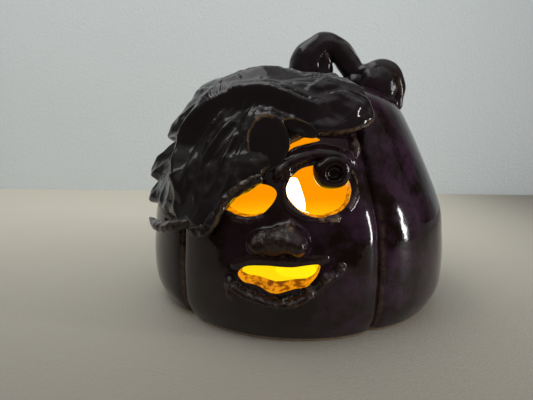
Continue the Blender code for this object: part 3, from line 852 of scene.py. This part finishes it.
def noise(tree, vector, scale, detail=4.0, roughness=0.55, label="noise"):
    item = node(tree, "ShaderNodeTexNoise", label)
    item.inputs["Scale"].default_value = scale
    item.inputs["Detail"].default_value = detail
    item.inputs["Roughness"].default_value = roughness
    tree.links.new(vector, item.inputs["Vector"])
    return item.outputs["Fac"]


def ramp(tree, value, low, high, label="range", to_low=0.0, to_high=1.0):
    item = node(tree, "ShaderNodeMapRange", label, interpolation_type="SMOOTHSTEP")
    for name, number in (("From Min", low), ("From Max", high), ("To Min", to_low), ("To Max", to_high)):
        item.inputs[name].default_value = number
    tree.links.new(value, item.inputs["Value"])
    return item.outputs["Result"]


def math(tree, operation, a, b, label="sum", clamp=False):
    item = node(tree, "ShaderNodeMath", label, operation=operation, use_clamp=clamp)
    for slot, value in ((0, a), (1, b)):
        if isinstance(value, (int, float)):
            item.inputs[slot].default_value = value
        else:
            tree.links.new(value, item.inputs[slot])
    return item.outputs[0]


def mix(tree, factor, a, b, label="blend"):
    item = node(tree, "ShaderNodeMix", label, data_type="RGBA")
    tree.links.new(factor, item.inputs["Factor"])
    for slot, value in (("A", a), ("B", b)):
        socket = [s for s in item.inputs if s.name == slot and s.type == "RGBA"][0]
        if isinstance(value, tuple):
            socket.default_value = (*value, 1.0)
        else:
            tree.links.new(value, socket)
    return [s for s in item.outputs if s.type == "RGBA"][0]


def new_material(name):
    mat = bpy.data.materials.new(name)
    mat.use_nodes = True
    tree = mat.node_tree
    shader = tree.nodes["Principled BSDF"]
    position = node(tree, "ShaderNodeTexCoord", "place").outputs["Object"]
    return mat, tree, shader, position


def rgb(value):
    return (value[0], value[1], value[2])


def glaze_material(name, settings, dark, purple_share, tan_share):
    """Thick dark glaze, mottled, running thin and tan over edges."""
    mat, tree, shader, position = new_material(name)
    worn = node(tree, "ShaderNodeAttribute", "worn edge", attribute_name="worn").outputs["Fac"]
    rough = node(tree, "ShaderNodeAttribute", "rough clay", attribute_name="rough").outputs["Fac"]
    cloud = noise(tree, position, 55.0, 5.0, 0.6, "mottle")
    fleck = noise(tree, position, 210.0, 4.0, 0.65, "flecks")
    cloudy = math(tree, "ADD", math(tree, "MULTIPLY", cloud, 0.75, "clouds"),
                  math(tree, "MULTIPLY", fleck, 0.25, "flecks on clouds"), "clouds and flecks")
    across = node(tree, "ShaderNodeSeparateXYZ", "across")
    tree.links.new(position, across.inputs["Vector"])
    right = ramp(tree, across.outputs["X"], -0.02, 0.06, "right side", 0.30 * purple_share, purple_share)
    purple = math(tree, "MULTIPLY", ramp(tree, cloudy, 0.40, 0.64, "patches"), right, "purple patches")
    body = mix(tree, purple, rgb(dark), rgb(settings.purple), "mottled glaze")
    speck = noise(tree, position, 900.0, 3.0, 0.6, "specks")
    breaks = noise(tree, position, 330.0, 4.0, 0.7, "breaks")
    edge = math(tree, "MULTIPLY", worn, ramp(tree, breaks, 0.36, 0.60, "broken edge"), "edge tan")
    grit = math(tree, "MULTIPLY", rough, ramp(tree, breaks, 0.60, 0.74, "grit patches", 0.0, 0.16), "grit")
    thin = math(tree, "MAXIMUM", edge, grit, "thin glaze")
    tan = math(tree, "MULTIPLY", thin, tan_share, "tan share", True)
    colour_out = mix(tree, tan, body, rgb(settings.tan), "glaze over edges")
    tree.links.new(colour_out, shader.inputs["Base Color"])
    uneven = ramp(tree, cloud, 0.3, 0.7, "gloss", 0.0, 0.05)
    gloss = math(tree, "ADD", uneven, settings.roughness, "roughness")
    gloss = math(tree, "ADD", gloss, math(tree, "MULTIPLY", tan, 0.22, "dull edge"), "edge roughness")
    tree.links.new(gloss, shader.inputs["Roughness"])
    shader.inputs["Specular IOR Level"].default_value = 0.40
    bump = node(tree, "ShaderNodeBump", "glaze skin")
    bump.inputs["Strength"].default_value = 0.35
    bump.inputs["Distance"].default_value = 0.0011
    ripple = noise(tree, position, 95.0, 2.5, 0.5, "glaze ripple")
    pits = math(tree, "MULTIPLY", rough, math(tree, "MULTIPLY", breaks, 1.6, "lumps"), "rough lumps")
    relief = math(tree, "ADD", math(tree, "MULTIPLY", ripple, 0.5, "soft ripple"), pits, "relief")
    relief = math(tree, "ADD", relief, math(tree, "MULTIPLY", speck, 0.02, "fine specks"), "fine relief")
    tree.links.new(relief, bump.inputs["Height"])
    tree.links.new(bump.outputs["Normal"], shader.inputs["Normal"])
    return mat


def body_glaze(settings):
    """The glaze with its bare clay foot."""
    mat = glaze_material("dark glaze", settings, settings.dark, 1.0, 0.7)
    tree = mat.node_tree
    shader = tree.nodes["Principled BSDF"]
    position = node(tree, "ShaderNodeTexCoord", "place of foot").outputs["Object"]
    height = node(tree, "ShaderNodeSeparateXYZ", "height")
    tree.links.new(position, height.inputs["Vector"])
    waver = noise(tree, position, 45.0, 3.0, 0.6, "glaze line")
    wander = math(tree, "MULTIPLY", waver, -0.0016, "wander")
    line = math(tree, "ADD", height.outputs["Z"], wander, "line height")
    bare = ramp(tree, line, 0.0010, 0.0018, "bare foot", 1.0, 0.0)
    glazed = shader.inputs["Base Color"].links[0].from_socket
    speckle = noise(tree, position, 700.0, 3.0, 0.7, "clay speckle")
    shade_of = ramp(tree, speckle, 0.35, 0.7, "clay tone")
    dark_clay = tuple(c * 0.55 for c in settings.clay)
    clay = mix(tree, shade_of, dark_clay, rgb(settings.clay), "bare clay")
    tree.links.new(mix(tree, bare, glazed, clay, "foot"), shader.inputs["Base Color"])
    smooth = shader.inputs["Roughness"].links[0].from_socket
    coarse = math(tree, "MULTIPLY", bare, 0.6, "clay roughness")
    dull = math(tree, "ADD", smooth, coarse, "foot roughness", True)
    tree.links.new(dull, shader.inputs["Roughness"])
    return mat


def glow_material(settings):
    """Candle-lit inside: yellow by the floor, even orange higher up."""
    mat, tree, shader, position = new_material("lit hollow")
    height = node(tree, "ShaderNodeSeparateXYZ", "height")
    tree.links.new(position, height.inputs["Vector"])
    rise = ramp(tree, height.outputs["Z"], 0.016, 0.050, "rise")
    glow = mix(tree, rise, rgb(settings.floor), rgb(settings.wall), "glow")
    clay = noise(tree, position, 240.0, 4.0, 0.6, "clay")
    tone = mix(tree, clay, (0.020, 0.012, 0.006), (0.035, 0.020, 0.010), "clay tone")
    tree.links.new(tone, shader.inputs["Base Color"])
    tree.links.new(glow, shader.inputs["Emission Color"])
    shader.inputs["Emission Strength"].default_value = 1.0
    shader.inputs["Roughness"].default_value = 0.7
    shader.inputs["Specular IOR Level"].default_value = 0.1
    return mat


def cut_material():
    """Cut edge of the wall, lit from inside."""
    mat, tree, shader, position = new_material("lit cut edge")
    blotch = noise(tree, position, 260.0, 4.0, 0.65, "burnt blotches")
    dark = ramp(tree, blotch, 0.42, 0.60, "blotch")
    tone = mix(tree, dark, (0.12, 0.05, 0.01), (0.02, 0.010, 0.004), "cut clay")
    tree.links.new(tone, shader.inputs["Base Color"])
    lit = mix(tree, dark, (0.90, 0.32, 0.0), (0.22, 0.05, 0.0), "lit clay")
    tree.links.new(lit, shader.inputs["Emission Color"])
    shader.inputs["Emission Strength"].default_value = 0.8
    shader.inputs["Roughness"].default_value = 0.35
    return mat


def wax_material(settings):
    mat, tree, shader, position = new_material("lit wax")
    height = node(tree, "ShaderNodeSeparateXYZ", "height")
    tree.links.new(position, height.inputs["Vector"])
    rise = ramp(tree, height.outputs["Z"], 0.026, 0.048, "rise")
    glow = mix(tree, rise, rgb(settings.floor), rgb(settings.flame), "wax glow")
    tree.links.new(glow, shader.inputs["Emission Color"])
    shader.inputs["Emission Strength"].default_value = 1.0
    cloud = noise(tree, position, 180.0, 3.0, 0.5, "wax cloud")
    tone = mix(tree, cloud, (0.26, 0.22, 0.13), (0.34, 0.30, 0.20), "wax")
    tree.links.new(tone, shader.inputs["Base Color"])
    shader.inputs["Roughness"].default_value = 0.4
    return mat


def flame_material(settings):
    mat, tree, shader, position = new_material("flame")
    flicker = noise(tree, position, 60.0, 1.0, 0.5, "flicker")
    bright = tuple(min(1.0, c * 1.1) for c in settings.flame)
    tree.links.new(mix(tree, flicker, rgb(settings.flame), bright, "flame"), shader.inputs["Emission Color"])
    tone = mix(tree, flicker, (0.8, 0.6, 0.3), (0.9, 0.7, 0.4), "hot air")
    tree.links.new(tone, shader.inputs["Base Color"])
    shader.inputs["Emission Strength"].default_value = settings.flame_power
    return mat


def wick_material():
    mat, tree, shader, position = new_material("burnt wick")
    ash = noise(tree, position, 900.0, 3.0, 0.6, "ash")
    tone = mix(tree, ash, (0.01, 0.008, 0.006), (0.05, 0.04, 0.03), "char")
    tree.links.new(tone, shader.inputs["Base Color"])
    shader.inputs["Roughness"].default_value = 0.9
    return mat


def plaster_material(name, tone, scale, strength, painted_shades, dull=0.75):
    mat, tree, shader, position = new_material(name)
    cloud = noise(tree, position, scale * 0.02, 3.0, 0.5, "cloud")
    low = tuple(c * 0.965 for c in tone)
    even = mix(tree, cloud, low, rgb(tone), "tone")
    parts = node(tree, "ShaderNodeSeparateXYZ", "across and back")
    tree.links.new(position, parts.inputs["Vector"])
    # painted shade: the tone is darkened along each axis given
    for axis, start, end, share in painted_shades:
        painted_shade = ramp(tree, parts.outputs[axis], start, end, "dim side")
        even = mix(tree, painted_shade, even, tuple(c * share for c in tone), "painted_shade_blend")
    tree.links.new(even, shader.inputs["Base Color"])
    shader.inputs["Roughness"].default_value = dull
    shader.inputs["Specular IOR Level"].default_value = 0.25
    bump = node(tree, "ShaderNodeBump", "grain")
    bump.inputs["Strength"].default_value = strength
    bump.inputs["Distance"].default_value = 0.001
    tree.links.new(noise(tree, position, scale, 3.0, 0.6, "grain"), bump.inputs["Height"])
    tree.links.new(bump.outputs["Normal"], shader.inputs["Normal"])
    return mat


# ---------------------------------------------------------------- operators

class LANTERN_OT_body(bpy.types.Operator):
    """Build the ribbed body with its carved face and lit hollow"""
    bl_idname = "lantern.body"
    bl_label = "Build Body"

    def execute(self, context):
        glaze, glow = context.scene.lantern_glaze, context.scene.lantern_glow
        body = add_object("lantern_body", body_mesh("lantern_body"))
        body.data.materials.append(body_glaze(glaze))
        cut_openings(body, glow_material(glow), cut_material())
        count = len(body.data.vertices)
        points = np.empty(count * 3, np.float32)
        body.data.vertices.foreach_get("co", points)
        points = points.reshape(-1, 3)
        azimuth = np.degrees(np.arctan2(points[:, 0], -points[:, 1]))
        z = points[:, 2]
        _, worn, rough = face_relief(azimuth, z)
        off, _ = crease_offset(azimuth, z)
        lips = np.exp(-((off - 0.0018) / 0.0008) ** 2) * smoothstep(0.090, 0.050, z)
        worn = np.maximum(worn, 0.40 * lips)
        set_attribute(body.data, "worn", worn)
        set_attribute(body.data, "rough", rough)
        place_on_axis(body)
        shade(body, 50)
        finish_piece(body, "glaze", "lantern")
        return {"FINISHED"}


class LANTERN_OT_leaf(bpy.types.Operator):
    """Build the draped leaf with its flap, rolled edge and free point"""
    bl_idname = "lantern.leaf"
    bl_label = "Build Leaf"

    def execute(self, context):
        glaze = context.scene.lantern_glaze
        # the leaf colour is partly painted sheen
        finish = glaze_material("leaf glaze", glaze, glaze.leaf, 0.35, 0.55)
        roll = [(*point, ROLL_RADIUS) for point in
                on_chart(np.array(ROLL), np.full(len(ROLL), ROLL_LIFT))]
        meshes = {
            "leaf": leaf_mesh("leaf"),
            "leaf_flap_0": flap_mesh("leaf_flap_0", *FLAPS[0]),
            "leaf_flap_1": flap_mesh("leaf_flap_1", *FLAPS[1]),
            "leaf_roll": strand_mesh("leaf_roll", roll, 40, 36, roll_section),
            "leaf_point": strand_mesh("leaf_point", TIP, 36, 16, tip_section),
        }
        roughened(meshes["leaf_roll"], 0.0004, 0.0022, 31)
        roughened(meshes["leaf_point"], 0.0005, 0.0040, 32)
        for name, mesh in meshes.items():
            piece = add_object(name, mesh)
            piece.data.materials.append(finish)
            place_on_axis(piece)
            shade(piece, 80)
            finish_piece(piece, "glaze", "lantern")
        return {"FINISHED"}


class LANTERN_OT_stalk(bpy.types.Operator):
    """Build the curled stalk"""
    bl_idname = "lantern.stalk"
    bl_label = "Build Stalk"

    def execute(self, context):
        glaze = context.scene.lantern_glaze
        # the leaf colour used here is partly painted sheen
        finish = glaze_material("stalk glaze", glaze, glaze.leaf, 0.5, 0.8)
        mesh = strand_mesh("stalk", STEM, 72, 26, stem_section)
        roughened(mesh, 0.0006, 0.0070, 41)
        stalk = add_object("stalk", mesh)
        root_mesh = strand_mesh("stalk_root", STEM_ROOT, 48, 16, stem_section)
        roughened(root_mesh, 0.0006, 0.0070, 43)
        pieces = [stalk, add_object("stalk_root", root_mesh)]
        for number, (middle, size) in enumerate(HEELS):
            name = f"stalk_heel_{number}"
            heel_mesh = ring_mesh(name, heel_rings(middle, size))
            roughened(heel_mesh, 0.0008, 0.0050, 42)
            set_attribute(heel_mesh, "worn", np.zeros(len(heel_mesh.vertices)))
            set_attribute(heel_mesh, "rough", np.full(len(heel_mesh.vertices), 0.5))
            pieces.append(add_object(name, heel_mesh))
        for piece in pieces:
            piece.data.materials.append(finish)
            place_on_axis(piece)
            shade(piece, 80)
            finish_piece(piece, "glaze", "lantern")
        return {"FINISHED"}


class LANTERN_OT_eyeball(bpy.types.Operator):
    """Build the ball that hangs in the right eye"""
    bl_idname = "lantern.eyeball"
    bl_label = "Build Eyeball"

    def execute(self, context):
        mesh = knob_mesh("eyeball")
        roughened(mesh, 0.0004, 0.0040, 51)
        ball = add_object("eyeball", mesh)
        glaze = context.scene.lantern_glaze
        ball.data.materials.append(glaze_material("eyeball glaze", glaze, glaze.dark, 0.3, 0.5))
        place_on_axis(ball)
        shade(ball, 80)
        finish_piece(ball, "glaze", "lantern")
        return {"FINISHED"}


class LANTERN_OT_candle(bpy.types.Operator):
    """Build the wax candle, its wick and its flame"""
    bl_idname = "lantern.candle"
    bl_label = "Build Candle"

    def execute(self, context):
        glow = context.scene.lantern_glow
        candle = add_object("candle_wax", candle_mesh("candle_wax"))
        candle.data.materials.append(wax_material(glow))
        flame = add_object("flame", flame_mesh("flame"))
        flame.data.materials.append(flame_material(glow))
        pool = WAX_FOOT + WICK_ROOT
        wick_points = [(0, 0, pool, WICK_RADIUS), (0.0004, 0, pool + WICK_LENGTH / 2, WICK_RADIUS),
                       (0.0014, 0.0003, pool + WICK_LENGTH, WICK_RADIUS * 0.8)]
        wick = add_object("wick", strand_mesh("wick", wick_points, 16, 8, plain_section))
        wick.data.materials.append(wick_material())
        for piece in (candle, flame, wick):
            place_on_axis(piece)
            shade(piece, 60)
        finish_piece(candle, "wax", "candle")
        finish_piece(flame, "wax")
        finish_piece(wick, "wax")
        return {"FINISHED"}


def area_light(name, place, target, width, height, power):
    data = bpy.data.lights.new(name, "AREA")
    data.shape = "RECTANGLE"
    data.size, data.size_y = width, height
    data.energy = power
    lamp = bpy.data.objects.new(name, data)
    lamp.location = place
    aim = Vector(target) - Vector(place)
    lamp.rotation_euler = aim.to_track_quat("-Z", "Y").to_euler()
    bpy.context.scene.collection.objects.link(lamp)


CAMERA_BACK, CAMERA_HEIGHT = 0.310, 0.1195
CAMERA_PITCH, CAMERA_YAW = 10.6, -4.05
CAMERA_LENS, SENSOR = 29.04, 36.0


def add_camera():
    data = bpy.data.cameras.new("camera")
    data.lens, data.sensor_width = CAMERA_LENS, SENSOR
    data.clip_start = 0.01
    camera = bpy.data.objects.new("camera", data)
    camera.location = (AXIS_X, AXIS_Y - CAMERA_BACK, CAMERA_HEIGHT)
    pitch, yaw = radians(CAMERA_PITCH), radians(CAMERA_YAW)
    look = Vector((sin(yaw) * cos(pitch), cos(yaw) * cos(pitch), -sin(pitch)))
    camera.rotation_euler = look.to_track_quat("-Z", "Y").to_euler()
    bpy.context.scene.collection.objects.link(camera)
    bpy.context.scene.camera = camera


def plane(name, width, depth, matrix):
    bm = bmesh.new()
    bmesh.ops.create_grid(bm, x_segments=1, y_segments=1, size=0.5)
    bm.transform(matrix @ Matrix.Diagonal((width, depth, 1, 1)))
    mesh = bpy.data.meshes.new(name)
    bm.to_mesh(mesh)
    bm.free()
    return add_object(name, mesh)


TABLE_LEFT = 1.6
WALL_WIDTH, WALL_HEIGHT = 6.0, 2.4
ROOM_LIGHT = 0.72
LIGHTS = {                           # place, point that it shines at, width, height and watts
    "window": ((1.15, -0.33, 0.20), (0, 0, 0.07), 0.085, 0.60, 6.0),
    "skylight": ((-0.40, 0.02, 0.95), (0, 0, 0.10), 0.85, 0.45, 2.2),
}
# painted shade darkens the stage's colour here: axis, start and end along it, and share of its tone left
TABLE_PAINTED_SHADE = (("X", 0.12, 0.42, 0.30), ("Y", 0.24, -0.245, 0.43))
WALL_PAINTED_SHADE = (("X", 0.02, 0.90, 0.05), ("X", -0.44, -1.3, 0.20))


def room_world():
    """A soft room that shines on the stage more than it shows in the glaze."""
    world = bpy.data.worlds.new("room")
    world.use_nodes = True
    tree = world.node_tree
    background = tree.nodes["Background"]
    direction = node(tree, "ShaderNodeTexCoord", "direction").outputs["Generated"]
    parts = node(tree, "ShaderNodeSeparateXYZ", "way")
    tree.links.new(direction, parts.inputs["Vector"])
    behind = ramp(tree, parts.outputs["Y"], -0.5, 0.7, "behind", 0.03, 0.22)
    over = ramp(tree, parts.outputs["Z"], 0.45, 1.0, "over", 0.0, 0.55)
    seen = math(tree, "ADD", behind, over, "room in the glaze")
    glossy = node(tree, "ShaderNodeLightPath", "ray").outputs["Is Glossy Ray"]
    lit = math(tree, "MULTIPLY", math(tree, "SUBTRACT", 1.0, glossy, "other rays"), ROOM_LIGHT, "soft light")
    level = math(tree, "ADD", math(tree, "MULTIPLY", seen, glossy, "in glaze"), lit, "level")
    tree.links.new(level, background.inputs["Strength"])
    background.inputs["Color"].default_value = (1, 1, 1, 1)
    bpy.context.scene.world = world


class LANTERN_OT_stage(bpy.types.Operator):
    """Build the table, the wall, the lights and the camera"""
    bl_idname = "lantern.stage"
    bl_label = "Build Stage"

    def execute(self, context):
        stage = context.scene.lantern_stage
        back, front = AXIS_Y + stage.wall_gap, AXIS_Y - stage.front_gap
        middle = Matrix.Translation(((stage.right_gap - TABLE_LEFT) / 2, (back + front) / 2, 0))
        table = plane("table", stage.right_gap + TABLE_LEFT, back - front, middle)
        table_finish = plaster_material("table top", stage.table, 620.0, 0.40, TABLE_PAINTED_SHADE, 0.6)
        table.data.materials.append(table_finish)
        wall_place = Matrix.Translation((0, back, WALL_HEIGHT / 2)) @ Matrix.Rotation(radians(90), 4, "X")
        wall = plane("wall", WALL_WIDTH, WALL_HEIGHT, wall_place)
        wall.data.materials.append(plaster_material("wall", stage.wall, 240.0, 0.80, WALL_PAINTED_SHADE))
        for name, values in LIGHTS.items():
            area_light(name, *values)
        room_world()
        add_camera()
        view = context.scene.view_settings
        view.view_transform = "Standard"
        return {"FINISHED"}


class LANTERN_PT_panel(bpy.types.Panel):
    """Sizes, colours and builders of the lantern"""
    bl_label = "Ceramic Lantern"
    bl_idname = "LANTERN_PT_panel"
    bl_space_type = "VIEW_3D"
    bl_region_type = "UI"
    bl_category = "Lantern"

    def draw(self, context):
        layout = self.layout
        for group in SETTINGS:
            settings = getattr(context.scene, group)
            box = layout.box()
            for name in settings.__annotations__:
                box.prop(settings, name)
        for operator in OPERATORS:
            layout.operator(operator.bl_idname)


OPERATORS = (LANTERN_OT_body, LANTERN_OT_leaf, LANTERN_OT_stalk, LANTERN_OT_eyeball,
             LANTERN_OT_candle, LANTERN_OT_stage)
SETTINGS = {"lantern_glaze": GlazeSettings, "lantern_glow": GlowSettings, "lantern_stage": StageSettings}
CLASSES = tuple(SETTINGS.values()) + OPERATORS + (LANTERN_PT_panel,)


def register():
    for cls in CLASSES:
        bpy.utils.register_class(cls)
    for name, cls in SETTINGS.items():
        setattr(bpy.types.Scene, name, PointerProperty(type=cls))


def unregister():
    for name in SETTINGS:
        delattr(bpy.types.Scene, name)
    for cls in reversed(CLASSES):
        bpy.utils.unregister_class(cls)


def main():
    register()
    bpy.ops.lantern.body()
    bpy.ops.lantern.leaf()
    bpy.ops.lantern.stalk()
    bpy.ops.lantern.eyeball()
    bpy.ops.lantern.candle()
    bpy.ops.lantern.stage()


if __name__ == "__main__":
    main()
